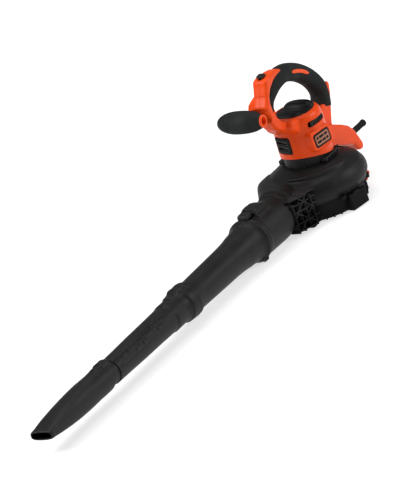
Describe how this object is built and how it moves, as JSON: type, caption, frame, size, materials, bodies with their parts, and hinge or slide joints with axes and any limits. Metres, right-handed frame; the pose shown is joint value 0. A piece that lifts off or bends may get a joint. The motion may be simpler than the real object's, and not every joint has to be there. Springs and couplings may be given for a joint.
{
  "type": "leaf blower",
  "caption": "Corded electric leaf blower: fan case, motor housing with a bow handle and a side handle, a blow tube in sections and a flat nozzle",
  "frame": {"origin": "On the motor's axis, at the plane of the flat hub below the inlet cover that the machine stands on", "axes": "+X is the way the air leaves, along the blow tube; +Z is the motor's axis upwards, away from the hub; +Y is the machine's left side"},
  "size_m": [1.277, 0.224, 0.3212],
  "materials": {
    "orange_nylon": "satin moulded",
    "black_nylon": "fine spark texture",
    "grip_rubber": "matte overmould",
    "steel": "zinc plated",
    "copper": "varnished winding",
    "iron": "laminated sheet stack",
    "carbon": "pressed carbon",
    "badge_face": "satin plate"
  },
  "bodies": {
    "body": {"housing_left": "orange_nylon", "housing_right": "orange_nylon", "grip_inlay": "orange_nylon", "side_handle_core": "orange_nylon", "grip_sleeve": "grip_rubber", "side_grip": "grip_rubber", "cable_gland": "grip_rubber", "case_screw_1": "steel", "case_screw_2": "steel", "case_screw_3": "steel", "case_screw_4": "steel", "case_screw_5": "steel", "case_screw_6": "steel", "housing_screw_1": "steel", "housing_screw_2": "steel", "housing_screw_3": "steel", "housing_screw_4": "steel", "cover_hinge_pin": "steel", "cover_latch_pin": "steel", "release_spring": "steel", "lower_bearing": "steel", "upper_bearing": "steel", "field_coils": "copper", "field_core": "iron", "brush_left": "carbon", "brush_right": "carbon", "badge_left": "badge_face", "badge_right": "badge_face", "volute_upper": "black_nylon", "volute_lower": "black_nylon", "cover_hinge_knuckle": "black_nylon", "cover_latch_bracket": "black_nylon", "interlock_switch": "black_nylon", "outlet_collar": "black_nylon", "front_vent": "black_nylon", "side_vent_left": "black_nylon", "side_vent_right": "black_nylon", "top_cap": "black_nylon", "motor_base": "black_nylon", "bearing_bridge": "black_nylon", "brush_holder_left": "black_nylon", "brush_holder_right": "black_nylon", "terminal_block": "black_nylon", "power_switch": "black_nylon"},
    "rotor": {"motor_shaft": "steel", "armature": "copper", "commutator": "copper", "cooling_fan": "black_nylon", "impeller": "black_nylon", "impeller_nut": "steel"},
    "cover": {"inlet_cover": "black_nylon"},
    "latch": {"cover_latch": "orange_nylon"},
    "slider": {"speed_slider": "black_nylon"},
    "release": {"tube_release_button": "black_nylon"},
    "upper_tube": {"upper_tube": "black_nylon"},
    "lower_tube": {"lower_tube": "black_nylon"},
    "nozzle": {"nozzle": "black_nylon"}
  },
  "joints": [
    {"name": "rotor_spin", "type": "hinge", "parent": "body", "child": "rotor", "pos_m": [0, 0, 0.1], "axis": [0, 0, 1], "continuous": true},
    {"name": "cover_hinge", "type": "hinge", "parent": "body", "child": "cover", "pos_m": [0.0187, 0.0962, 0.028], "axis": [0.9816, -0.1908, 0], "range_deg": [0, 95]},
    {"name": "cover_latch_pivot", "type": "hinge", "parent": "body", "child": "latch", "pos_m": [-0.07431, 0.06235, 0.026], "axis": [0.6428, 0.766, 0], "range_deg": [0, 16], "stiffness_Nm_per_rad": 0.05},
    {"name": "speed_slide", "type": "slide", "parent": "body", "child": "slider", "axis": [1, 0, 0], "range_m": [-0.009, 0]},
    {"name": "release_push", "type": "slide", "parent": "body", "child": "release", "axis": [-1, 0, 0], "range_m": [0, 0.003], "stiffness_N_per_m": 300},
    {"name": "upper_tube_slide", "type": "slide", "parent": "body", "child": "upper_tube", "axis": [1, 0, 0], "range_m": [0, 0.05]},
    {"name": "lower_tube_slide", "type": "slide", "parent": "upper_tube", "child": "lower_tube", "axis": [1, 0, 0], "range_m": [0, 0.05]},
    {"name": "nozzle_slide", "type": "slide", "parent": "lower_tube", "child": "nozzle", "axis": [1, 0, 0], "range_m": [0, 0.05]}
  ]
}
